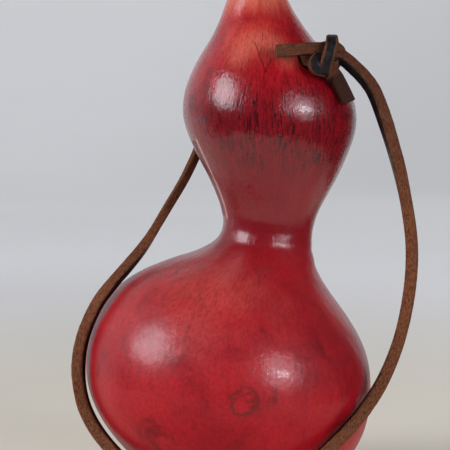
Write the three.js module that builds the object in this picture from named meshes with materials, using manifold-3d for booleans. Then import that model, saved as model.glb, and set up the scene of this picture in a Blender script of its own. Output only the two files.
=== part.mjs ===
// A gourd rattle: one hollow two-bulb bottle gourd that stands on its base, with a dried stalk on its
// neck, a wooden plug in the hole it was cleaned out through, a leather lace loop tied through two
// drilled holes in the upper bulb, and loose seeds on the floor of the lower bulb.
//
// Millimetres, +Z up. The origin is the centre of the flat base. +X runs towards the side where the
// lace hangs clear of the gourd, and the knot faces -Y.

import * as THREE from 'three';
import { mergeVertices } from 'three/addons/utils/BufferGeometryUtils.js';
import Module from 'manifold-3d';

const wasm = await Module();
wasm.setup();

// ---- Gourd ----
const WALL = 3.5;
const SHELL_FACETS = 40;
const CAVITY_FACETS = 28;
const SHELL_RINGS_PER_STATION = 2;
const CAVITY_RINGS = 30;
const CAVITY_START = 0.035;
const CAVITY_END = 0.88;

// Each station is one round section of the gourd, from the base up: the height and the sideways place
// of its centre, its radius, and its lean in degrees, negative where the -X side is the higher one.
const STATIONS = [
  { z: 0, x: 0, r: 12, lean: 0 },
  { z: 1.8, x: -1.2, r: 21, lean: -1.5 },
  { z: 7.6, x: -2.3, r: 29.3, lean: -3.2 },
  { z: 15, x: -3.4, r: 35, lean: -4 },
  { z: 23, x: -4.2, r: 37.9, lean: -4 },
  { z: 30.5, x: -4.4, r: 38.5, lean: -4 },
  { z: 38, x: -4.5, r: 37.3, lean: -4.2 },
  { z: 45, x: -4.7, r: 34, lean: -4.3 },
  { z: 51.3, x: -4.4, r: 29.4, lean: -4.8 },
  { z: 56, x: -2.5, r: 24, lean: -5.4 },
  { z: 60.2, x: 1.3, r: 17.7, lean: -5 },
  { z: 63.8, x: 4.6, r: 13.5, lean: -3 },
  { z: 67.8, x: 6.1, r: 11.9, lean: -1.5 },
  { z: 73.2, x: 6.7, r: 12.7, lean: 0 },
  { z: 80.6, x: 7.4, r: 16.1, lean: 0 },
  { z: 89.8, x: 7.3, r: 20.6, lean: 0 },
  { z: 98, x: 6.7, r: 23.2, lean: 0 },
  { z: 106, x: 6.1, r: 22, lean: 0 },
  { z: 113.6, x: 5.2, r: 18, lean: 0 },
  { z: 120.5, x: 4.3, r: 12.7, lean: 0 },
  { z: 129.5, x: 3.3, r: 8, lean: 0 },
  { z: 138, x: 2.8, r: 5.5, lean: 0 },
  { z: 146, x: 2.4, r: 3.9, lean: 0 },
];

// ---- Stalk and plug ----
const GAP = 0.3;
const STALK_RIDGES = 5;
const STALK_RIDGE_DEPTH = 0.1;
const NECK_TIP = STATIONS[STATIONS.length - 1];
const STALK_RINGS = [
  { z: NECK_TIP.z + GAP, x: NECK_TIP.x, r: 3.6 },
  { z: 148.5, x: 2.3, r: 2.9 },
  { z: 152, x: 2.0, r: 2.6 },
  { z: 156, x: 1.5, r: 2.7 },
  { z: 158.5, x: 1.1, r: 3.0 },
];
const STALK_FACETS = 20;
const PLUG_RADIUS = 8;
const PLUG_HEIGHT = 4.4;
const PLUG_FACETS = 32;
const BORE_LENGTH = 20;

// ---- Lace ----
const LACE = 3.2;
const LACE_CORNER = 0.5;
const LACE_HOLE_RADIUS = 2.4;
const LACE_HOLE_FACETS = 20;
const DRILL_LENGTH = 60;
const HOLE_HEIGHT = 113.5;
const HOLE_CENTRE_X = 5.2;
const HOLE_AZIMUTH = -54;
const KNOT_STANDOFF = 18.7;
const LOOP_STANDOFF = 20.5;
const LOOP_LEAD = 1.6;

// The free loop, from the knot down the +X side, across the ground in front of the gourd and up the
// -X side to the rear hole.
const LOOP_ROUTE = [
  [23.6, -14.2, 114.9],
  [25.9, -13.8, 113.6],
  [28.2, -13.4, 111.6],
  [30.6, -12.9, 109.2],
  [33.2, -12.4, 105.6],
  [38.4, -12.0, 91.3],
  [41.6, -12.0, 78.7],
  [43.5, -12.0, 65.7],
  [43.0, -12.5, 53.7],
  [40.2, -13.2, 40.3],
  [35.9, -15.0, 30.1],
  [31.4, -19.4, 24.0],
  [27.2, -24.6, 20.0],
  [22.2, -28.8, 15.8],
  [14.0, -32.2, 9.2],
  [2.5, -33.4, 4.0],
  [-10.5, -31.6, 2.2],
  [-23.0, -25.0, 4.2],
  [-36.6, -14.0, 13.6],
  [-42.3, -9.8, 22.1],
  [-43.9, -10.0, 31.5],
  [-42.8, -9.8, 40.4],
  [-38.9, -9.4, 49.6],
  [-35.2, -7.8, 54.5],
  [-31.2, -3.0, 58.9],
  [-26.6, 4.0, 64.4],
  [-21.1, 8.8, 73.3],
  [-15.7, 12.4, 82.4],
  [-11.6, 17.0, 92.0],
  [-10.3, 20.4, 100.0],
  [-9.9, 21.6, 107.0],
  [-9.3, 20.4, 111.0],
];

// The knot's own strands: the end that comes out of the front hole and runs on into the loop, the
// band wrapped round it, the bight below the band, and the two cut tails.
const KNOT_CORE = [
  [17.4, -16.8, 113.6],
  [19.2, -17.0, 114.6],
  [21.0, -15.9, 115.1],
  [22.4, -14.9, 115.1],
];
const KNOT_BIGHT = [
  [20.6, -16.4, 115.2],
  [18.0, -18.2, 114.3],
  [16.7, -19.0, 112.2],
  [17.7, -19.2, 110.2],
  [19.9, -18.3, 109.6],
  [22.0, -16.4, 110.9],
];
const TAIL_UPPER = [
  [20.6, -15.6, 116.6],
  [17.2, -16.9, 116.5],
  [12.8, -17.9, 116.3],
  [7.7, -18.5, 116.1],
];
const TAIL_LOWER = [
  [21.6, -16.8, 111.4],
  [23.4, -16.0, 108.9],
  [25.5, -15.3, 105.8],
  [27.2, -15.0, 101.4],
];
const KNOT_BAND = { x: 20.8, y: -16.5, z: 115.4, radius: 2.7, turn: 32, tall: 1.15 };
const BAND_FACETS = 8;
const BAND_SEGMENTS = 16;
const LOOP_STEPS = 78;
const TAIL_STEPS = 6;
const KNOT_STEPS = 9;
const INNER_STEPS = 4;

// ---- Seeds ----
const SEED_LENGTH = 11;
const SEED_WIDTH = 6;
const SEED_THICKNESS = 2.6;
const SEED_TAPER = 0.3;
const SEED_FACETS = 8;
const SEED_BANDS = 5;
const SEED_BED_X = -1;
// One layer: an inner pinwheel over the plug, and an outer ring that leans up the bowl of the wall.
const SEED_RINGS = [
  { count: 4, radius: 6.4, turn: 66, lean: 0, z: 6.2 },
  { count: 14, radius: 17, turn: 0, lean: 18, z: 7.1 },
];

const degrees = THREE.MathUtils.degToRad;
const vector = (p) => new THREE.Vector3(p[0], p[1], p[2]);

// A closed skin over a stack of rings with the same number of points, with a fan over each end.
function loft(rings) {
  const count = rings[0].length;
  const positions = [];
  const indices = [];
  for (const ring of rings) {
    for (const p of ring) {
      positions.push(p.x, p.y, p.z);
    }
  }
  for (let row = 0; row < rings.length - 1; row += 1) {
    for (let i = 0; i < count; i += 1) {
      const a = row * count + i;
      const b = row * count + ((i + 1) % count);
      indices.push(a, b, b + count, a, b + count, a + count);
    }
  }
  const addFan = (ring, first, outwardUp) => {
    const middle = new THREE.Vector3();
    ring.forEach((p) => middle.addScaledVector(p, 1 / count));
    const centre = positions.length / 3;
    positions.push(middle.x, middle.y, middle.z);
    for (let i = 0; i < count; i += 1) {
      const a = first + i;
      const b = first + ((i + 1) % count);
      indices.push(centre, outwardUp ? a : b, outwardUp ? b : a);
    }
  };
  addFan(rings[0], 0, false);
  addFan(rings[rings.length - 1], (rings.length - 1) * count, true);
  const geometry = new THREE.BufferGeometry();
  geometry.setAttribute('position', new THREE.Float32BufferAttribute(positions, 3));
  geometry.setIndex(indices);
  return geometry;
}

// A solid that can be cut and joined, from any closed geometry.
function solid(geometry) {
  const bare = geometry.clone();
  bare.deleteAttribute('normal');
  bare.deleteAttribute('uv');
  const merged = mergeVertices(bare, 1e-4);
  return new wasm.Manifold(new wasm.Mesh({
    numProp: 3,
    vertProperties: new Float32Array(merged.attributes.position.array),
    triVerts: new Uint32Array(merged.index.array),
  }));
}

function geometryOf(manifold) {
  const mesh = manifold.getMesh();
  const geometry = new THREE.BufferGeometry();
  geometry.setAttribute('position', new THREE.BufferAttribute(mesh.vertProperties, 3));
  geometry.setIndex(new THREE.BufferAttribute(mesh.triVerts, 1));
  geometry.computeVertexNormals();
  return geometry;
}

// The two edges of the gourd in its plane of symmetry. The section between them is a circle.
function edgeCurve(side) {
  return new THREE.CatmullRomCurve3(STATIONS.map((s) => new THREE.Vector3(
    s.x + side * s.r * Math.cos(degrees(s.lean)),
    0,
    s.z + side * s.r * Math.sin(degrees(s.lean)),
  )));
}

const leftEdge = edgeCurve(-1);
const rightEdge = edgeCurve(1);

function skinPoint(t, angle) {
  const left = leftEdge.getPoint(t);
  const right = rightEdge.getPoint(t);
  const half = right.clone().sub(left).multiplyScalar(0.5);
  const point = left.add(right).multiplyScalar(0.5);
  point.addScaledVector(half, Math.cos(angle));
  point.y += half.length() * Math.sin(angle);
  return point;
}

// The point a given depth below the skin, measured square to the skin.
function depthPoint(t, angle, depth) {
  const step = 1e-3;
  const along = skinPoint(Math.min(t + step, 1), angle).sub(skinPoint(Math.max(t - step, 0), angle));
  const around = skinPoint(t, angle + step).sub(skinPoint(t, angle - step));
  const outward = around.cross(along).normalize();
  return skinPoint(t, angle).addScaledVector(outward, -depth);
}

function gourdRings(count, facets, from, to, depth) {
  const rings = [];
  for (let row = 0; row <= count; row += 1) {
    const t = from + ((to - from) * row) / count;
    const ring = [];
    for (let i = 0; i < facets; i += 1) {
      const angle = (2 * Math.PI * i) / facets;
      ring.push(depth > 0 ? depthPoint(t, angle, depth) : skinPoint(t, angle));
    }
    rings.push(ring);
  }
  return rings;
}

// Both lace holes are drilled in one straight, level line, which points out through the front hole.
function holeLine() {
  const azimuth = degrees(HOLE_AZIMUTH);
  return new THREE.Vector3(Math.cos(azimuth), Math.sin(azimuth), 0);
}

function onHoleLine(distance) {
  return new THREE.Vector3(HOLE_CENTRE_X, 0, HOLE_HEIGHT).addScaledVector(holeLine(), distance);
}

function laceDrill() {
  const drill = new THREE.CylinderGeometry(
    LACE_HOLE_RADIUS, LACE_HOLE_RADIUS, DRILL_LENGTH, LACE_HOLE_FACETS,
  );
  drill.applyQuaternion(new THREE.Quaternion().setFromUnitVectors(new THREE.Vector3(0, 1, 0), holeLine()));
  drill.translate(HOLE_CENTRE_X, 0, HOLE_HEIGHT);
  return drill;
}

function fillerBore() {
  const bore = new THREE.CylinderGeometry(PLUG_RADIUS + GAP, PLUG_RADIUS + GAP, BORE_LENGTH, PLUG_FACETS);
  bore.rotateX(Math.PI / 2);
  return bore;
}

function gourdShell() {
  const rings = SHELL_RINGS_PER_STATION * (STATIONS.length - 1);
  const skin = solid(loft(gourdRings(rings, SHELL_FACETS, 0, 1, 0)));
  const cavity = solid(loft(gourdRings(CAVITY_RINGS, CAVITY_FACETS, CAVITY_START, CAVITY_END, WALL)));
  return geometryOf(skin.subtract(cavity).subtract(solid(laceDrill())).subtract(solid(fillerBore())));
}

function driedStalk() {
  const rings = STALK_RINGS.map((s) => {
    const ring = [];
    for (let i = 0; i < STALK_FACETS; i += 1) {
      const angle = (2 * Math.PI * i) / STALK_FACETS;
      const radius = s.r * (1 + STALK_RIDGE_DEPTH * Math.cos(STALK_RIDGES * angle));
      ring.push(new THREE.Vector3(s.x + radius * Math.cos(angle), radius * Math.sin(angle), s.z));
    }
    return ring;
  });
  return loft(rings);
}

function fillerPlug() {
  const plug = new THREE.CylinderGeometry(PLUG_RADIUS, PLUG_RADIUS, PLUG_HEIGHT, PLUG_FACETS);
  plug.rotateX(Math.PI / 2);
  plug.translate(0, 0, PLUG_HEIGHT / 2);
  return plug;
}

// The lace is a square strip with its corners eased.
function laceSection() {
  const half = LACE / 2;
  const inner = half - LACE_CORNER;
  return new THREE.Shape([
    [half, -inner], [half, inner], [inner, half], [-inner, half],
    [-half, inner], [-half, -inner], [-inner, -half], [inner, -half],
  ].map((p) => new THREE.Vector2(p[0], p[1])));
}

function strand(points, steps) {
  const extrudePath = new THREE.CatmullRomCurve3(points);
  return new THREE.ExtrudeGeometry(laceSection(), { steps, extrudePath, bevelEnabled: false });
}

function laceLoop() {
  const route = LOOP_ROUTE.map(vector);
  route.push(onHoleLine(-LOOP_STANDOFF - LOOP_LEAD), onHoleLine(-LOOP_STANDOFF));
  return strand(route, LOOP_STEPS);
}

function laceInnerRun() {
  const route = [onHoleLine(KNOT_STANDOFF - GAP), onHoleLine(0), onHoleLine(GAP - LOOP_STANDOFF)];
  return strand(route, INNER_STEPS);
}

function laceKnot() {
  const band = new THREE.TorusGeometry(KNOT_BAND.radius, LACE / 2, BAND_FACETS, BAND_SEGMENTS);
  band.rotateY(Math.PI / 2);
  band.scale(1, 1, KNOT_BAND.tall);
  band.rotateZ(degrees(KNOT_BAND.turn));
  band.translate(KNOT_BAND.x, KNOT_BAND.y, KNOT_BAND.z);
  let knot = solid(band);
  const core = [onHoleLine(KNOT_STANDOFF), ...KNOT_CORE.map(vector)];
  for (const route of [core, KNOT_BIGHT.map(vector)]) {
    knot = knot.add(solid(strand(route, KNOT_STEPS)));
  }
  for (const route of [TAIL_UPPER, TAIL_LOWER]) {
    knot = knot.add(solid(strand(route.map(vector), TAIL_STEPS)));
  }
  return geometryOf(knot);
}

// A flat seed that narrows towards +X.
function seed() {
  const shape = new THREE.SphereGeometry(1, SEED_FACETS, SEED_BANDS);
  const position = shape.attributes.position;
  for (let i = 0; i < position.count; i += 1) {
    const x = position.getX(i);
    position.setX(i, (x * SEED_LENGTH) / 2);
    position.setY(i, (position.getY(i) * SEED_WIDTH * (1 - SEED_TAPER * x)) / 2);
    position.setZ(i, (position.getZ(i) * SEED_THICKNESS) / 2);
  }
  return shape;
}

const material = (color, roughness) => new THREE.MeshStandardMaterial({ color, roughness, metalness: 0 });
const dyedGourd = material('#a8232b', 0.25);
const driedStem = material('#8a6a42', 0.8);
const plainWood = material('#b98d57', 0.6);
const brownLeather = material('#5c3a28', 0.7);
const seedCoat = material('#cdb488', 0.6);

const rattle = new THREE.Group();

function addPiece(name, geometry, finish) {
  const mesh = new THREE.Mesh(geometry, finish);
  mesh.name = name;
  rattle.add(mesh);
  return mesh;
}

addPiece('gourd_shell', gourdShell(), dyedGourd);
addPiece('dried_stalk', driedStalk(), driedStem);
addPiece('filler_plug', fillerPlug(), plainWood);
addPiece('lace_loop', laceLoop(), brownLeather);
addPiece('lace_knot', laceKnot(), brownLeather);
addPiece('lace_inner_run', laceInnerRun(), brownLeather);

let seedNumber = 0;
for (const ring of SEED_RINGS) {
  for (let i = 0; i < ring.count; i += 1) {
    seedNumber += 1;
    const around = (2 * Math.PI * i) / ring.count;
    const piece = addPiece(`seed_${String(seedNumber).padStart(2, '0')}`, seed(), seedCoat);
    piece.position.set(SEED_BED_X + ring.radius * Math.cos(around), ring.radius * Math.sin(around), ring.z);
    piece.rotation.set(0, degrees(ring.lean), around + Math.PI + degrees(ring.turn), 'ZYX');
  }
}

export default rattle;
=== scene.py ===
"""Looks for a gourd rattle: a glossy red-dyed bottle gourd, its dried stalk, wooden plug and seeds,
and a square leather lace that leaves the rear hole, runs round the gourd and is knotted at the front.

Metres, in the CAD frame: the gourd stands on z = 0 and the knot faces -Y.
"""

import math

import bmesh
import bpy
import numpy as np
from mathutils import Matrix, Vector, noise
from mathutils.bvhtree import BVHTree


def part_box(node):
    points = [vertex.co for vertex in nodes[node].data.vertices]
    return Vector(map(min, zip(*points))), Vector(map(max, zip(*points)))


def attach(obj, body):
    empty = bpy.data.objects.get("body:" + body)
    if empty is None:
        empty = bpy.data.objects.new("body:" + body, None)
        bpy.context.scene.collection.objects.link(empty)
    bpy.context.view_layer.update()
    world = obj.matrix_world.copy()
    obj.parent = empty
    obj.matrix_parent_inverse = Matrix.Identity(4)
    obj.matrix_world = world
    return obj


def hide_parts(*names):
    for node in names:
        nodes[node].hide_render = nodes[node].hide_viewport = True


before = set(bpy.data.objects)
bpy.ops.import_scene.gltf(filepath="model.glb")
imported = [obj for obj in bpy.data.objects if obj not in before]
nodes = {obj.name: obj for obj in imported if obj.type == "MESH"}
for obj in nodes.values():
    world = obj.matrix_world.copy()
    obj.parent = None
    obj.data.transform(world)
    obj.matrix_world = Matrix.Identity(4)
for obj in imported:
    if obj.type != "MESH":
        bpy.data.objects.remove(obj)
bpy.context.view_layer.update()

# ---- Camera ----
VIEW_CENTRE = Vector((-0.0053, 0.0, 0.0697))
VIEW_DISTANCE = 0.56
VIEW_ELEVATION = math.radians(5)
VIEW_LENS = 167.8
SENSOR = 36.0

# ---- Studio ----
# The sweep round the gourd: a flat floor with a curved edge that rises into a wall.
FLOOR_RADIUS = 1.15
FLOOR_FILLET = 0.45
WALL_TOP = 1.9
SWEEP_AROUND = 144
# The varnish mirrors the floor only this far out, and the backdrop only between these azimuths,
# in degrees from the front, anticlockwise from above.
TABLE_REACH = 0.165
BACKDROP_FROM, BACKDROP_TO = 146, 265
BACKDROP_GLOW = 0.455
# Two soft shadows in the paper, on the floor behind to the left and on the wall to the right:
# centre, reach and how dark.
PAPER_SHADOWS = (
    ((-0.14, 0.28, 0.0), 0.34, 0.13),
    ((0.24, 1.30, 0.16), 0.42, 0.13),
)
WORLD_COLOUR = (0.80, 0.81, 0.83, 1.0)
WORLD_STRENGTH = 0.03
# Each lamp's azimuth (degrees from the front, towards +X), elevation, distance, width and radiance.
LAMPS = {
    "left_window": (-66, 25, 1.0, 0.60, 8.6),
    "right_window": (45, 15, 1.1, 0.66, 3.5),
    "right_lamp": (46, 13, 1.1, 0.17, 27.0),
}
LAMP_TINT = (1.0, 0.96, 1.04)
LAMP_AIM = Vector((0.0, 0.0, 0.07))

# ---- Lace ----
LACE = 0.0032
LACE_CORNER = 0.0004
LACE_STEP = 0.0005
# How much narrower the strip is at its grain face than at its back, as a share of its width.
GRAIN_NARROWER = 0.22
# How rough the cut sides and the flesh side are.
FIBRE_RELIEF = 0.00009
# The middle of the loop, which its grain face looks towards.
LOOP_MIDDLE = Vector((0.0, -0.010, 0.058))
HOLE_CENTRE = Vector((0.0052, 0.0, 0.1135))
HOLE_LINE = Vector((math.cos(math.radians(-54)), math.sin(math.radians(-54)), 0.0))
HOLE_RADIUS = 0.0024
# How far from the hole line's middle the lace leaves each hole.
REAR_STANDOFF = 0.0205
FRONT_STANDOFF = 0.0187
UPWARD = (0.0, 0.0, 1.0)

# The free loop, from the knot down the +X side, over the ground and up the -X side to the rear hole.
LOOP_ROUTE = [
    (0.0236, -0.0142, 0.1149),
    (0.0259, -0.0138, 0.1136),
    (0.0282, -0.0134, 0.1116),
    (0.0306, -0.0129, 0.1092),
    (0.0332, -0.0124, 0.1056),
    (0.0384, -0.0120, 0.0913),
    (0.0416, -0.0120, 0.0787),
    (0.0435, -0.0120, 0.0657),
    (0.0430, -0.0125, 0.0537),
    (0.0402, -0.0132, 0.0403),
    (0.0359, -0.0150, 0.0301),
    (0.0314, -0.0194, 0.0240),
    (0.0272, -0.0246, 0.0200),
    (0.0222, -0.0288, 0.0158),
    (0.0140, -0.0322, 0.0092),
    (0.0025, -0.0334, 0.0040),
    (-0.0105, -0.0316, 0.0022),
    (-0.0230, -0.0250, 0.0042),
    (-0.0366, -0.0140, 0.0136),
    (-0.0423, -0.0098, 0.0221),
    (-0.0439, -0.0100, 0.0315),
    (-0.0428, -0.0098, 0.0404),
    (-0.0389, -0.0094, 0.0496),
    (-0.0352, -0.0078, 0.0545),
    (-0.0312, -0.0030, 0.0589),
    (-0.0266, 0.0040, 0.0644),
    (-0.0211, 0.0088, 0.0733),
    (-0.0157, 0.0124, 0.0824),
    (-0.0116, 0.0170, 0.0920),
    (-0.0103, 0.0204, 0.1000),
    (-0.0099, 0.0216, 0.1070),
    (-0.0093, 0.0204, 0.1110),
]

# How far the grain face turns towards the front, in degrees, against height on each side of the loop.
GRAIN_TURN_RIGHT = ((0.015, 0.075, 0.090, 0.104, 0.113), (-4, -8, 12, 34, 52))
GRAIN_TURN_LEFT = ((0.003, 0.020, 0.032, 0.045, 0.058, 0.068), (0, 5, 18, 19, 11, -4))
# The lace is thinner towards its rear end, which was cut to a taper to thread it. These are
# its width there as a share of the full width, and the stretch over which it widens.
THIN_END = 0.68
TAPER_FROM, TAPER_TO = 0.025, 0.130

# The knot. The long end comes in from the loop, turns back below, climbs behind, folds over the front
# as the band and leaves as the lower tail. Each point has the way its black grain face looks.
LONG_END = [
    ((0.0222, -0.0153, 0.1148), (0.0, -0.8, -0.6)),
    ((0.0205, -0.0165, 0.1149), (0.0, -0.9, -0.5)),
    ((0.0185, -0.0179, 0.1143), (-0.1, -1.0, 0.1)),
    ((0.0175, -0.0190, 0.1129), (0.05, -1.0, 0.0)),
    ((0.0181, -0.0190, 0.1117), (0.0, -1.0, 0.0)),
    ((0.0195, -0.0178, 0.1112), (0.0, -1.0, -0.1)),
    ((0.0214, -0.0154, 0.1114), (0.2, -0.4, -0.9)),
    ((0.0229, -0.0134, 0.1132), (0.4, 0.9, -0.2)),
    ((0.0231, -0.0127, 0.1155), (0.2, 1.0, 0.0)),
    ((0.0226, -0.0137, 0.1177), (0.0, 0.8, 0.6)),
    ((0.0223, -0.0158, 0.1187), (0.0, 0.0, 1.0)),
    ((0.0220, -0.0181, 0.1182), (0.0, -0.6, 0.8)),
    ((0.0217, -0.0195, 0.1167), (0.0, -1.0, 0.2)),
    ((0.0212, -0.0199, 0.1149), (0.0, -1.0, 0.0)),
    ((0.0206, -0.0195, 0.1131), (0.0, -1.0, -0.2)),
    ((0.0204, -0.0184, 0.1116), (0.0, -0.7, -0.7)),
    ((0.0213, -0.0171, 0.1107), (0.0, 0.5, -0.9)),
    ((0.0230, -0.0161, 0.1096), (0.1, 1.0, -0.3)),
    ((0.0247, -0.0152, 0.1073), (0.1, 1.0, 0.0)),
    ((0.0268, -0.0146, 0.1031), (0.1, 1.0, 0.0)),
]
# The short end comes out of the front hole, turns back round the long end and leaves as the upper tail.
SHORT_END = [
    ((0.0172, -0.0161, 0.1136), (0.0, 0.0, 1.0)),
    ((0.0193, -0.0152, 0.1138), (0.0, 0.3, 1.0)),
    ((0.0220, -0.0136, 0.1144), (-0.2, 0.5, 1.0)),
    ((0.0241, -0.0132, 0.1155), (-0.8, 0.5, 0.4)),
    ((0.0236, -0.0141, 0.1165), (0.2, 0.8, -0.8)),
    ((0.0216, -0.0154, 0.1169), (0.0, 1.0, -0.4)),
    ((0.0190, -0.0168, 0.1169), (0.0, 1.0, 0.0)),
    ((0.0150, -0.0183, 0.1167), (0.0, 1.0, 0.0)),
    ((0.0112, -0.0190, 0.1163), (0.0, 1.0, 0.0)),
    ((0.0078, -0.0194, 0.1162), (0.0, 1.0, 0.0)),
]

# ---- Gourd ----
SHELL_AROUND = 256
SHELL_STEP = 0.0006
SHELL_HARMONICS = 5
SHELL_SMOOTH = 0.0020
WALL = 0.0035
BORE_RADIUS = 0.0083
BORE_TOP = 0.0042
FLAT_RADIUS = 0.0120
# The inside wall runs between these heights.
INSIDE_FLOOR, INSIDE_TOP = 0.0045, 0.128
# The height of the lower bulb's middle, and how many rows of the skin fan out below it.
BULB_HEIGHT = 0.0300
FAN_ROWS = 120
WAIST_HEIGHT = 0.0635
# The gourd's middle line leans: its sideways place at each height.
SPINE = ((0.030, 0.050, 0.064, 0.082, 0.146), (-0.0044, -0.0044, 0.0046, 0.0074, 0.0024))
# The upper bulb's axis, about which the dye streaks run.
AXIS_X = 0.0065
# The painted highlight along the waist's seam and the painted shade beside it stand this many degrees round
# from the front, clockwise from above.
SEAM_LIGHT_TURN = 65
# Between these heights the rind changes from the lower bulb's surface to the upper bulb's.
UPPER_FROM, UPPER_TO = 0.045, 0.085

# ---- Dye colours, with a painted highlight and painted shade ----
CRIMSON = (0.290, 0.0022, 0.0090, 1)
BRIGHT_RED = (0.400, 0.0075, 0.0130, 1)
DEEP_RED = (0.110, 0.0015, 0.0045, 1)
# Heavy dye, and also the painted dark reflection band on the upper bulb's right.
HEAVY_RED_AND_PAINTED_SHADE = (0.150, 0.0015, 0.0060, 1)
PALE_RED = (0.520, 0.070, 0.058, 1)
ORANGE = (0.560, 0.0680, 0.0460, 1)
PALE_ARCH = (0.620, 0.145, 0.095, 1)
PALE_TIP = (0.640, 0.170, 0.100, 1)
STREAK = (0.030, 0.001, 0.004, 1)
SCRATCH = (0.050, 0.003, 0.004, 1)
# Painted shade in the hollow beside the waist's seam.
PAINTED_CREASE_SHADE = (0.100, 0.004, 0.010, 1)
# A painted highlight: a pale line along the waist's seam.
PAINTED_SEAM_HIGHLIGHT = (0.560, 0.230, 0.220, 1)
SPECK = (0.09, 0.008, 0.010, 1)
HEALED = (0.085, 0.010, 0.008, 1)

# Fine scratches by the upper tail of the lace: start, end and how dark.
SCRATCHES = (
    ((0.0024, 0, 0.1182), (0.0051, 0, 0.1108), 0.50),
    ((0.0066, 0, 0.1138), (0.0049, 0, 0.1108), 0.48),
    ((0.0051, 0, 0.1112), (0.0042, 0, 0.1080), 0.35),
)
# Healed marks in the rind, each a ring or (with no radius) a spot: centre, radius, width, how dark.
HEALED_MARKS = (
    ((-0.0006, -0.0385, 0.0286), 0.0034, 0.0009, 0.55),
    ((-0.0010, -0.0385, 0.0280), 0.0026, 0.0007, 0.30),
    ((0.0010, -0.0385, 0.0294), 0.0012, 0.0007, 0.40),
    ((-0.0016, -0.0385, 0.0306), 0.0000, 0.0014, 0.40),
    ((-0.0061, -0.0300, 0.0560), 0.0000, 0.0011, 0.60),
    ((-0.0200, -0.0130, 0.0585), 0.0024, 0.0006, 0.45),
    ((-0.0160, -0.0150, 0.0592), 0.0020, 0.0006, 0.45),
    ((0.0173, -0.0330, 0.0175), 0.0012, 0.0010, 0.40),
    ((0.0026, -0.0120, 0.0760), 0.0000, 0.0009, 0.55),
)

# ---- Stalk ----
STALK_RADIUS = 0.0030
STALK_ROWS = 60
STALK_AROUND = 80


def on_hole_line(distance):
    return HOLE_CENTRE + HOLE_LINE * distance


# ---------------------------------------------------------------- camera, lights, stage

def add_camera():
    data = bpy.data.cameras.new("view")
    data.lens = VIEW_LENS
    data.sensor_width = SENSOR
    camera = bpy.data.objects.new("view", data)
    bpy.context.scene.collection.objects.link(camera)
    back = Vector((0.0, -math.cos(VIEW_ELEVATION), math.sin(VIEW_ELEVATION)))
    camera.location = VIEW_CENTRE + back * VIEW_DISTANCE
    camera.rotation_euler = (-back).to_track_quat("-Z", "Y").to_euler()
    bpy.context.scene.camera = camera


def add_lamp(name, azimuth, elevation, distance, across, radiance):
    """A round soft lamp that faces the gourd. It lights and reflects, but is never in the picture."""
    data = bpy.data.lights.new(name, "AREA")
    data.shape = "DISK"
    data.size = across
    data.energy = radiance * math.pi * math.pi * across ** 2 / 4
    data.color = LAMP_TINT
    lamp = bpy.data.objects.new(name, data)
    bpy.context.scene.collection.objects.link(lamp)
    lamp.visible_camera = False
    a, e = math.radians(azimuth), math.radians(elevation)
    back = Vector((math.sin(a) * math.cos(e), -math.cos(a) * math.cos(e), math.sin(e)))
    lamp.location = LAMP_AIM + back * distance
    lamp.rotation_euler = back.to_track_quat("Z", "Y").to_euler()


def add_world():
    world = bpy.data.worlds.new("studio")
    world.use_nodes = True
    background = world.node_tree.nodes["Background"]
    background.inputs["Color"].default_value = WORLD_COLOUR
    background.inputs["Strength"].default_value = WORLD_STRENGTH
    bpy.context.scene.world = world
    bpy.context.scene.view_settings.view_transform = "Standard"


def stage_profile():
    """Radius and height of the studio's sweep: a table top that curves up into a wall."""
    steps = 12
    profile = [(0.0, 0.0), (TABLE_REACH, 0.0), (FLOOR_RADIUS, 0.0)]
    for i in range(1, steps + 1):
        a = math.pi / 2 * i / steps
        profile.append((FLOOR_RADIUS + FLOOR_FILLET * math.sin(a), FLOOR_FILLET * (1 - math.cos(a))))
    return profile + [(FLOOR_RADIUS + FLOOR_FILLET, WALL_TOP)]


def add_studio():
    """A pale round sweep in two parts. The gourd mirrors only the table and the backdrop behind it:
    the room in front counts as dark to its varnish."""
    around = SWEEP_AROUND
    profile = stage_profile()
    verts = [(0.0, 0.0, 0.0)]
    for radius, z in profile[1:]:
        for i in range(around):
            a = 2 * math.pi * i / around
            verts.append((radius * math.sin(a), -radius * math.cos(a), z))
    # The disc of table round the gourd, then the rings outside it.
    mirrored = [(0, 1 + i, 1 + (i + 1) % around) for i in range(around)]
    plain = []
    for row in range(len(profile) - 2):
        first = 1 + row * around
        for i in range(around):
            j = (i + 1) % around
            behind = BACKDROP_FROM <= 360 * (i + 0.5) / around <= BACKDROP_TO
            (mirrored if behind else plain).append(
                (first + i, first + around + i, first + around + j, first + j)
            )
    paper = backdrop_material()
    for name, faces in (("backdrop", mirrored), ("room_front", plain)):
        mesh = bpy.data.meshes.new(name)
        mesh.from_pydata(verts, [], faces)
        mesh.shade_smooth()
        sweep = new_object(name, mesh, [paper])
        sweep.visible_glossy = name == "backdrop"


# ---------------------------------------------------------------- node helpers

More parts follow.
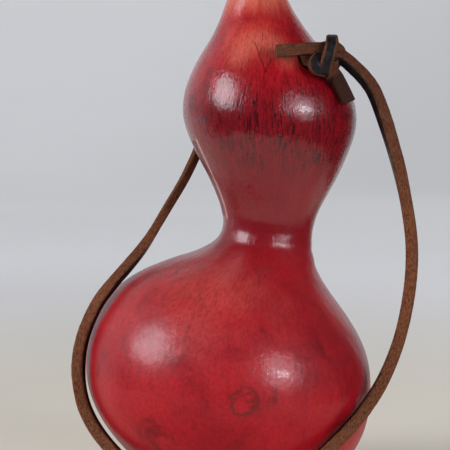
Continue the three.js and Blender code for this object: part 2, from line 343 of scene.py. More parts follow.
class Shader:
    """A short way to write one material's node tree."""

    def __init__(self, name):
        self.material = bpy.data.materials.new(name)
        self.material.use_nodes = True
        self.tree = self.material.node_tree
        self.bsdf = self.tree.nodes["Principled BSDF"]

    def node(self, kind, **settings):
        made = self.tree.nodes.new("ShaderNode" + kind)
        for key, value in settings.items():
            setattr(made, key, value)
        return made

    def link(self, source, target):
        self.tree.links.new(source, target)

    def feed(self, socket, value):
        if isinstance(value, (int, float)):
            socket.default_value = value
        elif isinstance(value, (tuple, list, Vector)):
            socket.default_value = tuple(value)
        else:
            self.link(value, socket)

    def place(self):
        return self.node("TexCoord").outputs["Object"]

    def stretched(self, vector, scale, shift=(0, 0, 0)):
        mapping = self.node("Mapping")
        self.feed(mapping.inputs["Vector"], vector)
        self.feed(mapping.inputs["Scale"], scale)
        self.feed(mapping.inputs["Location"], shift)
        return mapping.outputs["Vector"]

    def meridians(self, vector, squash):
        """Texture space that runs round the gourd, with its length squashed so marks run lengthwise."""
        flat = self.stretched(vector, (1, 1, 0), (-AXIS_X, 0, 0))
        unit = self.node("VectorMath", operation="NORMALIZE")
        self.feed(unit.inputs[0], flat)
        round_it = self.stretched(unit.outputs[0], (0.02, 0.02, 1))
        total = self.node("VectorMath", operation="ADD")
        self.feed(total.inputs[0], round_it)
        self.feed(total.inputs[1], self.stretched(vector, (0, 0, squash)))
        return total.outputs[0]

    def noise(self, vector, scale, detail=4.0, roughness=0.55, distortion=0.0):
        made = self.node("TexNoise")
        self.feed(made.inputs["Vector"], vector)
        made.inputs["Scale"].default_value = scale
        made.inputs["Detail"].default_value = detail
        made.inputs["Roughness"].default_value = roughness
        made.inputs["Distortion"].default_value = distortion
        return made.outputs["Fac"]

    def voronoi(self, vector, scale, feature="F1"):
        made = self.node("TexVoronoi", feature=feature)
        self.feed(made.inputs["Vector"], vector)
        made.inputs["Scale"].default_value = scale
        return made.outputs["Distance"]

    def math(self, operation, a, b=0.0, clamp=False):
        made = self.node("Math", operation=operation, use_clamp=clamp)
        self.feed(made.inputs[0], a)
        self.feed(made.inputs[1], b)
        return made.outputs[0]

    def remap(self, value, low, high, to_low=0.0, to_high=1.0, smooth=True):
        made = self.node("MapRange", interpolation_type="SMOOTHSTEP" if smooth else "LINEAR")
        for name, item in (
            ("Value", value), ("From Min", low), ("From Max", high), ("To Min", to_low), ("To Max", to_high),
        ):
            self.feed(made.inputs[name], item)
        return made.outputs["Result"]

    def mix(self, amount, a, b, blend="MIX"):
        made = self.node("Mix", data_type="RGBA", blend_type=blend)
        self.feed(made.inputs[0], amount)
        self.feed(made.inputs[6], a)
        self.feed(made.inputs[7], b)
        return made.outputs[2]

    def distance(self, vector, point):
        made = self.node("VectorMath", operation="DISTANCE")
        self.feed(made.inputs[0], vector)
        self.feed(made.inputs[1], point)
        return made.outputs["Value"]

    def split(self, vector):
        made = self.node("SeparateXYZ")
        self.feed(made.inputs[0], vector)
        return made.outputs

    def scratch(self, place, start, end, width):
        """A straight thin mark from start to end, as seen from the front."""
        run = Vector(end) - Vector(start)
        half = run.length / 2
        unit = run.normalized()
        away = self.node("VectorMath", operation="SUBTRACT")
        self.feed(away.inputs[0], place)
        self.feed(away.inputs[1], (Vector(start) + Vector(end)) / 2)
        parts = []
        for direction in (unit, Vector((unit.z, 0, -unit.x))):
            dot = self.node("VectorMath", operation="DOT_PRODUCT")
            self.feed(dot.inputs[0], away.outputs[0])
            self.feed(dot.inputs[1], direction)
            parts.append(self.math("ABSOLUTE", dot.outputs["Value"]))
        within = self.remap(parts[0], half, half * 1.12, 1.0, 0.0)
        return self.math("MULTIPLY", within, self.remap(parts[1], width * 0.3, width, 1.0, 0.0))

    def bump(self, height, strength, distance, below=None):
        made = self.node("Bump")
        made.inputs["Strength"].default_value = strength
        made.inputs["Distance"].default_value = distance
        self.feed(made.inputs["Height"], height)
        if below is not None:
            self.link(below, made.inputs["Normal"])
        return made.outputs["Normal"]

    def set(self, **values):
        for name, value in values.items():
            self.feed(self.bsdf.inputs[name.replace("_", " ")], value)


# ---------------------------------------------------------------- materials

def backdrop_material():
    s = Shader("pale_paper")
    place = s.place()
    away = s.distance(place, (0.0, 0.0, 0.0))
    tone = s.mix(s.remap(away, 0.10, 0.50), (0.520, 0.495, 0.425, 1), (0.585, 0.592, 0.603, 1))
    cloud = s.noise(s.stretched(place, (1, 1, 2.2)), 2.6, 3.0, 0.5, 0.6)
    tone = s.mix(s.remap(cloud, 0.35, 0.65, 0.0, 0.16), tone, (0.50, 0.505, 0.515, 1))
    for centre, reach, depth in PAPER_SHADOWS:
        near = s.remap(s.distance(place, centre), reach * 0.25, reach, depth, 0.0)
        tone = s.mix(near, tone, (0.020, 0.022, 0.014, 1))
    s.set(Base_Color=tone, Roughness=0.95, Emission_Color=tone, Emission_Strength=BACKDROP_GLOW)
    s.bsdf.inputs["Specular IOR Level"].default_value = 0.1
    s.material.cycles.emission_sampling = "NONE"
    return s.material


def cloudy_dye(s, place):
    """The ground of the dye: cloudy red, with darker blotches."""
    cloud = s.noise(place, 45.0, 5.0, 0.6, 0.4)
    colour = s.mix(s.remap(cloud, 0.36, 0.66), CRIMSON, BRIGHT_RED)
    blotch = s.noise(s.stretched(place, (1, 1, 0.6), (0.3, 0.1, 0.7)), 110.0, 6.0, 0.65, 0.6)
    return s.mix(s.remap(blotch, 0.50, 0.72, 0.0, 0.75), colour, DEEP_RED)


def pale_patch(s, place, wobble, centre, inner, outer, strength):
    """A soft round patch with a wandering edge."""
    away = s.math("ADD", s.distance(place, centre), wobble)
    return s.remap(away, inner, outer, strength, 0.0)


def add_thin_dye(s, place, wobble, colour):
    """Thin dye on the top of the lower bulb, on the upper shoulder and up the neck."""
    height = s.split(place)[2]
    belly = pale_patch(s, place, wobble, (-0.011, -0.021, 0.053), 0.018, 0.040, 0.62)
    shoulder = pale_patch(s, place, wobble, (0.001, -0.018, 0.118), 0.012, 0.028, 0.9)
    neck = s.remap(height, 0.121, 0.132, 0.0, 0.75)
    thin = s.math("MAXIMUM", belly, s.math("MAXIMUM", shoulder, neck))
    return s.mix(thin, colour, s.mix(s.remap(height, 0.060, 0.100), PALE_RED, ORANGE))


def add_pale_arch(s, place, wobble, colour):
    """A pale arch on the front of the upper shoulder, over the upper tail of the lace."""
    parts = s.split(place)
    depth, height = parts[1], parts[2]
    arch = s.distance(s.stretched(place, (1, 0, 1)), (0.0042, 0, 0.1113))
    arch = s.math("ADD", arch, s.math("MULTIPLY", wobble, 0.16))
    arch = s.math("ABSOLUTE", s.math("SUBTRACT", arch, 0.0094))
    arch = s.math("MULTIPLY", s.remap(arch, 0.0004, 0.0038, 0.62, 0.0), s.remap(height, 0.1095, 0.1155))
    arch = s.math("MULTIPLY", arch, s.remap(depth, -0.010, -0.005, 1.0, 0.0))
    return s.mix(arch, colour, PALE_ARCH)


def add_pale_tip(s, place, colour):
    """The neck's end is paler still, with a ragged lower edge."""
    ragged = s.math("MULTIPLY", s.noise(s.meridians(place, 0.2), 260.0, 3.0), 0.008)
    tip = s.math("ADD", s.split(place)[2], ragged)
    return s.mix(s.remap(tip, 0.1285, 0.1370, 0.0, 0.85), colour, PALE_TIP)


def add_flecks(s, place, colour):
    """A fine mottle all over, drawn out lengthwise."""
    fleck = s.noise(s.meridians(place, 0.40), 2600.0, 5.0, 0.7, 0.2)
    return s.mix(s.remap(fleck, 0.42, 0.66, 0.0, 0.40), colour, DEEP_RED)


def add_heavy_dye_and_painted_band(s, place, colour):
    """The dye is darker round the waist and round the middle of the upper bulb. A dark band on the right of
    the upper bulb is a painted reflection of the dark room on that side.
    """
    parts = s.split(place)
    side, height = parts[0], parts[2]
    heavy_dye_and_dark_band = s.math("MULTIPLY", s.remap(height, 0.056, 0.070), s.remap(height, 0.100, 0.112, 1.0, 0.0))
    heavy_dye_and_dark_band = s.math("MULTIPLY", heavy_dye_and_dark_band, s.remap(side, -0.004, 0.016, 0.86, 0.70))
    # Painted reflection of the dark room on the right: a dark band on the upper bulb.
    painted_dark_band = s.distance(s.stretched(place, (1, 1, 0.4)), (0.0185, -0.0135, 0.0402))
    heavy_dye_and_dark_band = s.math("MAXIMUM", heavy_dye_and_dark_band, s.remap(painted_dark_band, 0.0015, 0.0060, 0.95, 0.0))
    return s.mix(heavy_dye_and_dark_band, colour, HEAVY_RED_AND_PAINTED_SHADE)


def dye_streaks(s, place):
    """How much of a fine lengthwise streak: most of them lie round the middle of the upper bulb."""
    height = s.split(place)[2]
    zone = s.math("MULTIPLY", s.remap(height, 0.080, 0.090), s.remap(height, 0.102, 0.116, 1.0, 0.15))
    patch = s.remap(s.noise(s.meridians(place, 0.5), 150.0, 2.0), 0.34, 0.56, 0.30, 1.0)
    hair = s.remap(s.noise(s.meridians(place, 0.13), 2300.0, 4.0, 0.65, 0.5), 0.48, 0.60)
    stroke = s.remap(s.noise(s.meridians(place, 0.16), 900.0, 6.0, 0.72, 0.8), 0.52, 0.64)
    return s.math("MULTIPLY", s.math("MULTIPLY", zone, patch), s.math("MAXIMUM", hair, stroke))


def add_threads(s, place, colour):
    """Faint lengthwise threads in the dye, stronger on the upper bulb."""
    thread = s.remap(s.noise(s.meridians(place, 0.12), 1900.0, 4.0, 0.65, 0.5), 0.50, 0.66)
    strength = s.remap(s.split(place)[2], 0.060, 0.085, 0.12, 0.50)
    return s.mix(s.math("MULTIPLY", thread, strength), colour, DEEP_RED)


def add_scratches(s, place, colour):
    front = s.remap(s.split(place)[1], -0.011, -0.006, 1.0, 0.0)
    for start, end, depth in SCRATCHES:
        line = s.math("MULTIPLY", s.scratch(place, start, end, 0.00036), front)
        colour = s.mix(s.math("MULTIPLY", line, depth), colour, SCRATCH)
    return colour


def waist_seam_light(s, place):
    """A fine seam down the left of the waist, painted as a pale line that stands in for its highlight, and
    painted shade in the hollow that runs down outside it.
    """
    turned = s.node("VectorRotate", rotation_type="Z_AXIS")
    s.feed(turned.inputs["Vector"], place)
    s.feed(turned.inputs["Center"], (AXIS_X, 0, 0))
    turned.inputs["Angle"].default_value = math.radians(SEAM_LIGHT_TURN)
    facing = turned.outputs["Vector"]
    forward = s.remap(s.split(facing)[1], -0.004, -0.001, 1.0, 0.0)
    seam_highlight = s.scratch(facing, (AXIS_X, 0, 0.0725), (AXIS_X, 0, 0.0925), 0.0007)
    beside = AXIS_X - 0.0034
    crease_shade = s.scratch(facing, (beside, 0, 0.0730), (beside, 0, 0.0920), 0.0032)
    return s.math("MULTIPLY", seam_highlight, forward), s.math("MULTIPLY", crease_shade, forward)


def add_specks(s, place, colour):
    """Pin specks, in patches."""
    speck = s.remap(s.voronoi(place, 520.0), 0.05, 0.16, 0.55, 0.0)
    speck = s.math("MULTIPLY", speck, s.remap(s.noise(place, 120.0), 0.5, 0.62))
    return s.mix(speck, colour, SPECK)


def add_healed_marks(s, place, colour):
    for centre, radius, width, strength in HEALED_MARKS:
        away = s.distance(place, centre)
        ragged = s.math("MULTIPLY", s.math("SUBTRACT", s.noise(place, 260.0, 5.0, 0.65), 0.5), 0.0052)
        off = s.math("ABSOLUTE", s.math("SUBTRACT", s.math("ADD", away, ragged), radius))
        colour = s.mix(s.remap(off, 0.0, width, strength, 0.0), colour, HEALED)
    return colour


def set_varnish(s, place, streaks, crease_shade):
    """The rind's relief, and over it a varnish that is glossier on the upper bulb, worn near the base,
    thin over the painted shade in the waist's hollow so that the shade shows, and thinner on the lower
    bulb's left."""
    parts = s.split(place)
    side, height = parts[0], parts[2]
    grain = s.noise(place, 1500.0, 3.0, 0.6)
    lumps = s.noise(place, 260.0, 3.0, 0.5)
    dents = s.noise(s.meridians(place, 0.6), 150.0, 3.0, 0.5)
    relief = s.math("ADD", lumps, s.math("MULTIPLY", dents, 1.7))
    relief = s.math("ADD", relief, s.math("MULTIPLY", streaks, -0.08))
    rind = s.bump(relief, 0.34, 0.0004)
    ripple = s.noise(s.meridians(place, 0.30), 2100.0, 3.0, 0.60)

    worn = s.remap(height, 0.018, 0.042, 0.35, 1.0)
    worn = s.math("MULTIPLY", worn, s.remap(crease_shade, 0.0, 1.0, 1.0, 0.25))
    cover = s.math(
        "MAXIMUM", s.remap(height, UPPER_FROM, UPPER_TO), s.remap(side, -0.028, 0.002, 0.62, 1.12)
    )
    roughness = s.remap(height, UPPER_FROM, UPPER_TO, 0.39, 0.28)
    specular = s.remap(height, UPPER_FROM, UPPER_TO, 0.38, 0.20)
    coat = s.remap(height, UPPER_FROM, UPPER_TO, 0.42, 0.70)
    s.set(
        Roughness=s.math("ADD", s.remap(grain, 0.3, 0.7, -0.05, 0.06), roughness),
        Specular_IOR_Level=s.math("MULTIPLY", worn, specular),
        Normal=s.bump(grain, 0.18, 0.00008, rind),
        Coat_Weight=s.math("MULTIPLY", s.math("MULTIPLY", worn, cover), coat),
        Coat_Roughness=s.remap(cover, 0.62, 1.0, 0.20, 0.095),
        Coat_IOR=1.5,
        Coat_Normal=s.bump(ripple, 0.60, 0.00014, rind),
    )


def gourd_material():
    """Red dye, layer on layer, under an uneven varnish, with a painted highlight and painted shade at the
    waist's seam and a painted dark reflection on the upper bulb.
    """
    s = Shader("red_dyed_gourd")
    place = s.place()
    wobble = s.math("MULTIPLY", s.noise(place, 70.0, 3.0), 0.03)
    streaks = dye_streaks(s, place)
    seam_highlight, crease_shade = waist_seam_light(s, place)

    colour = cloudy_dye(s, place)
    colour = add_thin_dye(s, place, wobble, colour)
    colour = add_pale_arch(s, place, wobble, colour)
    colour = add_pale_tip(s, place, colour)
    colour = add_flecks(s, place, colour)
    colour = add_heavy_dye_and_painted_band(s, place, colour)
    colour = s.mix(s.math("MULTIPLY", streaks, 0.92), colour, STREAK)
    colour = add_threads(s, place, colour)
    colour = add_scratches(s, place, colour)
    # Painted shade in the hollow beside the waist's seam.
    colour = s.mix(s.math("MULTIPLY", crease_shade, 0.7), colour, PAINTED_CREASE_SHADE)
    # A pale line along the waist's seam: a painted highlight.
    colour = s.mix(s.math("MULTIPLY", seam_highlight, 0.75), colour, PAINTED_SEAM_HIGHLIGHT)
    colour = add_specks(s, place, colour)
    colour = add_healed_marks(s, place, colour)
    s.set(Base_Color=colour)
    set_varnish(s, place, streaks, crease_shade)
    return s.material


def flesh_material(name, tint):
    """The brown flesh side and cut edges of the lace: short fibres along the strip. It is darker
    towards the knot and nearly black round one spot on the lower tail, just below the knot."""
    s = Shader(name)
    place = s.place()
    strip = s.node("Attribute", attribute_name="strip").outputs["Vector"]
    fibre = s.noise(s.stretched(strip, (900, 3800, 1)), 1.0, 5.0, 0.7, 0.4)
    mottle = s.noise(place, 420.0, 5.0, 0.65)
    colour = s.mix(s.remap(fibre, 0.34, 0.66), (0.045, 0.016, 0.007, 1), tint)
    colour = s.mix(s.remap(mottle, 0.45, 0.70, 0.0, 0.5), colour, (0.190, 0.074, 0.032, 1))
    pits = s.remap(s.noise(place, 1900.0, 3.0), 0.55, 0.70, 0.0, 0.6)
    colour = s.mix(pits, colour, (0.018, 0.007, 0.004, 1))
    upward = s.remap(s.split(place)[2], 0.060, 0.110, 0.0, 0.42)
    colour = s.mix(upward, colour, (0.030, 0.011, 0.006, 1))
    dark_spot = s.remap(s.distance(place, (0.0252, -0.0152, 0.1060)), 0.0046, 0.0062, 0.85, 0.0)
    colour = s.mix(dark_spot, colour, (0.026, 0.010, 0.007, 1))
    rough = s.bump(s.math("ADD", fibre, s.noise(place, 2600.0, 3.0, 0.7)), 0.55, 0.00018)
    s.set(Base_Color=colour, Roughness=0.85, Normal=rough, Specular_IOR_Level=0.15)
    return s.material


def grain_material():
    """The smooth near-black grain face of the lace."""
    s = Shader("black_grain_leather")
    place = s.place()
    crease = s.voronoi(place, 1700.0, "DISTANCE_TO_EDGE")
    mottle = s.noise(place, 700.0, 4.0, 0.6)
    colour = s.mix(s.remap(mottle, 0.4, 0.7), (0.005, 0.0045, 0.0055, 1), (0.018, 0.013, 0.013, 1))
    bumps = s.bump(s.remap(crease, 0.0, 0.08), 0.30, 0.00006)
    roughness = s.remap(mottle, 0.3, 0.7, 0.34, 0.50)
    s.set(Base_Color=colour, Roughness=roughness, Normal=bumps, Specular_IOR_Level=0.32)
    return s.material


def stalk_material():
    s = Shader("dried_stalk")
    place = s.place()
    fibre = s.noise(s.stretched(place, (1, 1, 0.08)), 1400.0, 5.0, 0.7, 0.5)
    mottle = s.noise(place, 300.0, 4.0)
    colour = s.mix(s.remap(fibre, 0.35, 0.65), (0.10, 0.050, 0.022, 1), (0.34, 0.22, 0.11, 1))
    colour = s.mix(s.remap(mottle, 0.45, 0.7, 0.0, 0.5), colour, (0.20, 0.060, 0.035, 1))
    s.set(Base_Color=colour, Roughness=0.8, Normal=s.bump(fibre, 0.6, 0.0003))
    return s.material


def wood_material():
    s = Shader("plug_end_grain")
    place = s.place()
    rings = s.node("TexWave", wave_type="RINGS", rings_direction="Z")
    s.feed(rings.inputs["Vector"], s.stretched(place, (1, 1, 1), (0.004, 0.012, 0)))
    rings.inputs["Scale"].default_value = 190.0
    rings.inputs["Distortion"].default_value = 2.5
    rings.inputs["Detail"].default_value = 3.0
    pores = s.noise(place, 2400.0, 3.0, 0.7)
    colour = s.mix(rings.outputs["Fac"], (0.36, 0.21, 0.10, 1), (0.55, 0.37, 0.20, 1))
    colour = s.mix(s.remap(pores, 0.55, 0.7, 0.0, 0.7), colour, (0.15, 0.08, 0.035, 1))
    s.set(Base_Color=colour, Roughness=0.6, Normal=s.bump(pores, 0.3, 0.0001))
    return s.material


def seed_material():
    s = Shader("dry_seed_coat")
    place = s.place()
    mottle = s.noise(place, 500.0, 4.0, 0.6)
    colour = s.mix(s.remap(mottle, 0.35, 0.65), (0.42, 0.29, 0.15, 1), (0.66, 0.52, 0.32, 1))
    s.set(Base_Color=colour, Roughness=0.6, Normal=s.bump(s.noise(place, 1800.0), 0.3, 0.0001))
    return s.material


# ---------------------------------------------------------------- curves

def catmull_rom(points, step):
    """Points about a step apart on the centripetal Catmull-Rom curve through a list of vectors."""
    control = [Vector(p) for p in points]
    first = control[0] * 2 - control[1]
    last = control[-1] * 2 - control[-2]
    control = [first] + control + [last]
    made, keys = [], []
    for i in range(1, len(control) - 2):
        p = control[i - 1:i + 3]
        t = [0.0]
        for a, b in zip(p, p[1:]):
            t.append(t[-1] + max((b - a).length ** 0.5, 1e-6))
        count = max(2, int(math.ceil((p[2] - p[1]).length / step)))
        for k in range(count):
            u = t[1] + (t[2] - t[1]) * k / count
            a1 = p[0].lerp(p[1], (u - t[0]) / (t[1] - t[0]))
            a2 = p[1].lerp(p[2], (u - t[1]) / (t[2] - t[1]))
            a3 = p[2].lerp(p[3], (u - t[2]) / (t[3] - t[2]))
            b1 = a1.lerp(a2, (u - t[0]) / (t[2] - t[0]))
            b2 = a2.lerp(a3, (u - t[1]) / (t[3] - t[1]))
            made.append(b1.lerp(b2, (u - t[1]) / (t[2] - t[1])))
            keys.append(i - 1 + k / count)
    made.append(control[-2])
    keys.append(len(control) - 3.0)
    return made, keys


def smooth_rows(rows, sigma):
    """Gaussian smoothing along the first axis, with the two ends held."""
    reach = int(math.ceil(3 * sigma))
    weights = np.exp(-0.5 * (np.arange(-reach, reach + 1) / sigma) ** 2)
    weights /= weights.sum()
    padded = np.concatenate([
        2 * rows[:1] - rows[reach:0:-1],
        rows,
        2 * rows[-1:] - rows[-2:-reach - 2:-1],
    ])
    out = np.zeros_like(rows)
    for k, w in enumerate(weights):
        out += w * padded[k:k + len(rows)]
    return out


def new_object(name, mesh, materials):
    obj = bpy.data.objects.new(name, mesh)
    bpy.context.scene.collection.objects.link(obj)
    for material in materials:
        mesh.materials.append(material)
    return obj


# ---------------------------------------------------------------- lace

def strip_section():
    """The square that is swept, as (across, up, side): up is towards the grain face, which is side 1."""
    half = LACE / 2
    inner = half - LACE_CORNER
    section = []
    for side, (ax, ay) in enumerate(((1, 0), (0, 1), (-1, 0), (0, -1))):
        for step in range(-3, 4):
            along = inner * step / 3
            section.append((ax * half - ay * along, ay * half + ax * along, side))
    return section


def thread_taper(along):
    share = min(max((along - TAPER_FROM) / (TAPER_TO - TAPER_FROM), 0.0), 1.0)
    return THIN_END + (1.0 - THIN_END) * share * share * (3 - 2 * share)


def tail_size(along):
    """The upper tail was pulled thin, and it splays a little at its cut end."""
    return 0.87 + 0.10 * math.exp(-((along - 0.0300) / 0.0035) ** 2)


def inner_size(along):
    """The stretch inside the gourd is thin all along."""
    return THIN_END


def strip_faces(section, rows):
    """The faces of a swept strip and the material of each: 0 grain face, 1 flesh, 2 cut end."""
    count = len(section)
    faces, kinds = [], []
    for row in range(rows - 1):
        for i in range(count):
            j = (i + 1) % count
            a = row * count
            faces.append((a + i, a + j, a + count + j, a + count + i))
            kinds.append(0 if section[i][2] == 1 and section[j][2] == 1 else 1)
    for row, order in ((0, -1), (rows - 1, 1)):
        faces.append(tuple(row * count + i for i in range(count))[::order])
        kinds.append(2)
    return faces, kinds


def make_strip(name, stations, materials, seed, size_at):
    """A square leather strip along (point, grain direction) stations, with uneven fibrous sides."""
    points, keys = catmull_rom([p for p, _ in stations], LACE_STEP)
    facing = [Vector(g).normalized() for _, g in stations]
    section = strip_section()
    verts, strip_values = [], []
    along = 0.0
    for i, point in enumerate(points):
        before, after = points[max(i - 1, 0)], points[min(i + 1, len(points) - 1)]
        tangent = (after - before).normalized()
        key = min(keys[i], len(facing) - 1.0001)
        low = int(key)
        grain = facing[low].lerp(facing[low + 1], key - low)
        grain = (grain - tangent * tangent.dot(grain)).normalized()
        across = tangent.cross(grain)
        if i:
            along += (point - points[i - 1]).length
        swell = size_at(along) * (1.0 + 0.035 * noise.noise(Vector((along * 120.0, seed, 0.0))))
        for x, y, side in section:
            x *= 1.0 - GRAIN_NARROWER * y / LACE
            p = point + (across * x + grain * y) * swell
            if side != 1:
                rough = noise.noise(p * 900.0) * 0.6 + noise.noise(p * 2600.0) * 0.4
                p = p + (across * x + grain * y).normalized() * (FIBRE_RELIEF * rough)
            verts.append(p)
            strip_values.append((along, x if side % 2 else y, side))
    faces, kinds = strip_faces(section, len(points))
    mesh = bpy.data.meshes.new(name)
    mesh.from_pydata(verts, [], faces)
    mesh.polygons.foreach_set("material_index", kinds)
    values = mesh.attributes.new("strip", "FLOAT_VECTOR", "POINT")
    values.data.foreach_set("vector", np.array(strip_values, dtype=np.float32).ravel())
    mesh.shade_smooth()
    strip = new_object(name, mesh, materials)
    return strip, [tuple(p) for p in points]


def loop_facing(point):
    """The grain face looks into the loop, turned towards the front by an angle that drifts along it."""
    inward = LOOP_MIDDLE - point
    inward.y = 0.0
    heights, turns = GRAIN_TURN_RIGHT if point.x > 0 else GRAIN_TURN_LEFT
    turn = math.radians(float(np.interp(point.z, heights, turns)))
    return inward.normalized() * math.cos(turn) + Vector((0, -1, 0)) * math.sin(turn)


def lace_stations():
    rear = [on_hole_line(-REAR_STANDOFF - 0.0016), on_hole_line(-REAR_STANDOFF), on_hole_line(-0.0165)]
    route = [Vector(p) for p in LOOP_ROUTE] + rear
    stations = [(point, loop_facing(point)) for point in reversed(route)]
    return stations + [(Vector(p), g) for p, g in LONG_END]


def length_of(path):
    return sum((Vector(b) - Vector(a)).length for a, b in zip(path, path[1:]))


def make_lace():
    materials = [
        grain_material(),
        flesh_material("brown_flesh_leather", (0.215, 0.073, 0.032, 1)),
        flesh_material("cut_leather_end", (0.25, 0.17, 0.10, 1)),
    ]
    long_strip, long_path = make_strip("lace_long_end", lace_stations(), materials, 1.0, thread_taper)
    mouth = [(on_hole_line(d), UPWARD) for d in (0.0150, FRONT_STANDOFF - 0.0010)]
    short_stations = mouth + [(Vector(p), g) for p, g in SHORT_END]
    short_strip, short_path = make_strip("lace_short_end", short_stations, materials, 2.0, tail_size)
    inner_stations = [(on_hole_line(d), UPWARD) for d in (-0.0163, -0.006, 0.006, 0.0148)]
    inner_strip, inner_path = make_strip("lace_inside", inner_stations, materials, 3.0, inner_size)
    for strip in (long_strip, short_strip, inner_strip):
        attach(strip, "gourd")
    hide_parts("lace_loop")
    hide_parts("lace_knot")
    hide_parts("lace_inner_run")
    print("lace lengths", length_of(long_path), length_of(short_path), length_of(inner_path))


# ---------------------------------------------------------------- gourd

def profile_rays():
    """Where each row of the skin is cast from: a height on the spine and an elevation. The rows fan
    out from 72 degrees below level up to level, and then climb the spine to the neck's end."""
    rays = []
    for i in range(FAN_ROWS):
        rays.append((BULB_HEIGHT, -math.pi / 2 * (1 - i / FAN_ROWS) * 0.80))
    z = BULB_HEIGHT
    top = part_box("gourd_shell")[1][2]
    while z < top - 0.0001:
        rays.append((z, 0.0))
        z += SHELL_STEP
    rays.append((top - 0.00005, 0.0))
    return rays


def sample_skin():
    """The CAD shell's outer skin as rows of points, each row free of facets and of the lace holes."""
    shell = nodes["gourd_shell"].data
    tree = BVHTree.FromPolygons(
        [v.co.copy() for v in shell.vertices], [tuple(p.vertices) for p in shell.polygons]
    )
    angles = np.arange(SHELL_AROUND) * 2 * math.pi / SHELL_AROUND
    rows = []
    for z, elevation in profile_rays():
        spine = Vector((spine_x(z), 0.0, z))
        level = math.cos(elevation)
        reach = np.full(SHELL_AROUND, np.nan)
        for i, angle in enumerate(angles):
            out = Vector((math.cos(angle) * level, math.sin(angle) * level, math.sin(elevation)))
            hit = tree.ray_cast(spine + out * 0.2, -out, 0.2)
            if hit[0] is None:
                continue
            offset = hit[0] - HOLE_CENTRE
            if (offset - HOLE_LINE * offset.dot(HOLE_LINE)).length > HOLE_RADIUS * 1.25:
                reach[i] = (hit[0] - spine).length
        known = ~np.isnan(reach)
        reach = np.interp(angles, angles[known], reach[known], period=2 * math.pi)
        waves = np.fft.rfft(reach)
        waves[SHELL_HARMONICS:] = 0
        reach = np.fft.irfft(waves, SHELL_AROUND)
        rows.append(np.stack([
            spine.x + reach * np.cos(angles) * level,
            reach * np.sin(angles) * level,
            z + reach * math.sin(elevation),
        ], axis=1))
    return np.array(rows)


def spine_x(z):
    """The sideways place of the gourd's middle at a height."""
    heights, places = SPINE
    return float(np.interp(z, heights, places))


def even_rows(rows, step):
    """The same skin with its rows an even distance apart along the profile."""
    gaps = np.linalg.norm(np.diff(rows, axis=0), axis=2).mean(axis=1)
    reach = np.concatenate([[0.0], np.cumsum(gaps)])
    wanted = np.linspace(0.0, reach[-1], int(reach[-1] / step) + 1)
    out = np.empty((len(wanted), rows.shape[1], 3))
    for i in range(rows.shape[1]):
        for axis in range(3):
            out[:, i, axis] = np.interp(wanted, reach, rows[:, i, axis])
    return out


def row_normals(rows):
    around = np.roll(rows, -1, axis=1) - np.roll(rows, 1, axis=1)
    along = np.gradient(rows, axis=0)
    normal = np.cross(around, along)
    return normal / np.linalg.norm(normal, axis=2, keepdims=True)


def weather(rows):
    """Gentle natural unevenness: broad lumps everywhere and fine folds where the waist pinches in."""
    normals = row_normals(rows)
    push = np.zeros(rows.shape[:2])
    for r in range(rows.shape[0]):
        for i in range(rows.shape[1]):
            p = Vector(rows[r, i])
            lump = noise.noise(p * 55.0) * 0.00022 + noise.noise(p * 140.0) * 0.00006
            pinch = math.exp(-((p.z - WAIST_HEIGHT) / 0.0055) ** 2)
            fold = noise.noise(Vector((p.x * 60, p.y * 60, p.z * 420))) * 0.00022 * pinch
            push[r, i] = lump + fold
    fade = np.clip(rows[:, :, 2] / 0.006, 0.0, 1.0)
    return rows + normals * (push * fade)[:, :, None]


def ring_at(radius, z, count, centre_x=0.0):
    """A level ring of points. The radius is one number, or one for each point."""
    angles = np.arange(count) * 2 * math.pi / count
    return np.stack([centre_x + radius * np.cos(angles), radius * np.sin(angles), np.full(count, z)], axis=1)


def closed_loft(name, rows, materials):
    """A closed mesh through rings of points, with each end closed by a fan."""
    count = rows[0].shape[0]
    verts = np.concatenate(rows)
    first = len(verts)
    verts = np.concatenate([verts, rows[0].mean(axis=0)[None], rows[-1].mean(axis=0)[None]])
    index = np.arange(count)
    nxt = (index + 1) % count
    faces = []
    for row in range(len(rows) - 1):
        a = row * count
        faces.extend(np.stack([a + index, a + nxt, a + count + nxt, a + count + index], axis=1).tolist())
    last = (len(rows) - 1) * count
    faces.extend([[first, int(nxt[i]), i] for i in range(count)])
    faces.extend([[first + 1, last + i, last + int(nxt[i])] for i in range(count)])
    mesh = bpy.data.meshes.new(name)
    mesh.from_pydata(verts.tolist(), [], faces)
    mesh.shade_smooth()
    return new_object(name, mesh, materials)


def drill_lace_holes(gourd):
    """Cuts both lace holes with one straight drill through the upper bulb."""
    bm = bmesh.new()
    bmesh.ops.create_cone(
        bm, cap_ends=True, segments=48, radius1=HOLE_RADIUS, radius2=HOLE_RADIUS, depth=0.060
    )
    drill_mesh = bpy.data.meshes.new("drill")
    bm.to_mesh(drill_mesh)
    bm.free()
    drill = bpy.data.objects.new("drill", drill_mesh)
    bpy.context.scene.collection.objects.link(drill)
    drill.rotation_euler = HOLE_LINE.to_track_quat("Z", "Y").to_euler()
    drill.location = HOLE_CENTRE
    cut = gourd.modifiers.new("holes", "BOOLEAN")
    cut.operation = "DIFFERENCE"
    cut.object = drill
    cut.solver = "EXACT"
    bpy.context.view_layer.update()
    evaluated = gourd.evaluated_get(bpy.context.evaluated_depsgraph_get())
    mesh = bpy.data.meshes.new_from_object(evaluated)
    gourd.modifiers.clear()
    gourd.data = mesh
    bpy.data.objects.remove(drill)


def mark_sharp(obj, degrees):
    """Makes every edge that turns by more than this many degrees look sharp."""
    bm = bmesh.new()
    bm.from_mesh(obj.data)
    limit = math.radians(degrees)
    for edge in bm.edges:
        edge.smooth = len(edge.link_faces) == 2 and edge.calc_face_angle() < limit
    bm.to_mesh(obj.data)
    bm.free()


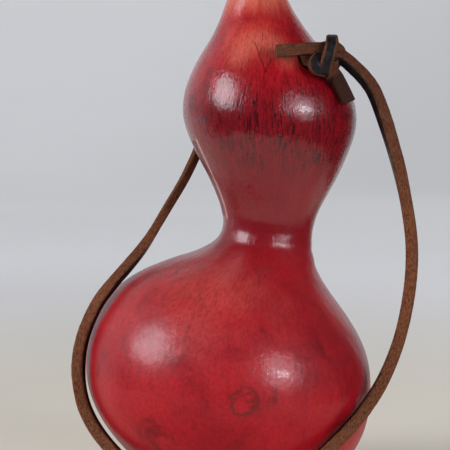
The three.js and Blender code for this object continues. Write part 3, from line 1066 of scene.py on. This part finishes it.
def make_gourd():
    skin = even_rows(sample_skin(), SHELL_STEP)
    skin = smooth_rows(skin, SHELL_SMOOTH / SHELL_STEP)
    skin = skin[skin[:, :, 2].min(axis=1) > 0.0002]
    skin = weather(skin)
    inside = skin - row_normals(skin) * WALL
    inside = inside[(inside[:, :, 2].min(axis=1) > INSIDE_FLOOR) & (skin[:, 0, 2] < INSIDE_TOP)][::4]
    # From the top of the inside down to the bore, out over the flat base and up the skin.
    base = [ring_at(r, z, SHELL_AROUND) for r, z in (
        (BORE_RADIUS, BORE_TOP), (BORE_RADIUS, 0.0), (FLAT_RADIUS, 0.0),
    )]
    rows = list(inside[::-1]) + base + list(skin)
    gourd = closed_loft("gourd_skin", rows, [gourd_material()])
    drill_lace_holes(gourd)
    mark_sharp(gourd, 50)
    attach(gourd, "gourd")
    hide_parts("gourd_shell")


# ---------------------------------------------------------------- stalk, plug and seeds

def make_stalk():
    """A dry five-ridged stub that flares at both ends and leans a little towards -X."""
    low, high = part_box("dried_stalk")
    angles = np.arange(STALK_AROUND) * 2 * math.pi / STALK_AROUND
    rows = []
    for i in range(STALK_ROWS):
        t = i / (STALK_ROWS - 1)
        z = low[2] + (high[2] - low[2]) * t
        middle = 0.0024 - 0.0013 * t ** 1.6
        flare = STALK_RADIUS * (1.22 - 0.55 * math.sin(math.pi * min(t * 1.1, 1.0)) ** 0.7 * 0.55)
        ridge = 1 + 0.10 * np.cos(5 * angles + 0.5 * t) + 0.025 * np.cos(23 * angles)
        jitter = np.array([noise.noise(Vector((math.cos(a), math.sin(a), t * 3))) * 0.08 for a in angles])
        rows.append(ring_at(flare * (ridge + jitter), z, STALK_AROUND, middle))
    stalk = closed_loft("stalk", rows, [stalk_material()])
    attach(stalk, "gourd")
    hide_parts("dried_stalk")


def dress_plug():
    plug = nodes["filler_plug"]
    plug.data.materials.clear()
    plug.data.materials.append(wood_material())


def make_seeds():
    coat = seed_material()
    for name in sorted(nodes):
        if not name.startswith("seed_"):
            continue
        mesh = nodes[name].data.copy()
        mesh.materials.clear()
        piece = new_object(name + "_coat", mesh, [coat])
        bm = bmesh.new()
        bm.from_mesh(mesh)
        bmesh.ops.remove_doubles(bm, verts=bm.verts, dist=1e-6)
        bm.to_mesh(mesh)
        bm.free()
        round_off = piece.modifiers.new("round", "SUBSURF")
        round_off.levels = round_off.render_levels = 2
        evaluated = piece.evaluated_get(bpy.context.evaluated_depsgraph_get())
        piece.data = bpy.data.meshes.new_from_object(evaluated)
        piece.modifiers.clear()
        piece.data.shade_smooth()
        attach(piece, name)
        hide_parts(name)


add_camera()
make_lace()
make_gourd()
make_stalk()
dress_plug()
make_seeds()
add_world()
for lamp_name, settings in LAMPS.items():
    add_lamp(lamp_name, *settings)
add_studio()
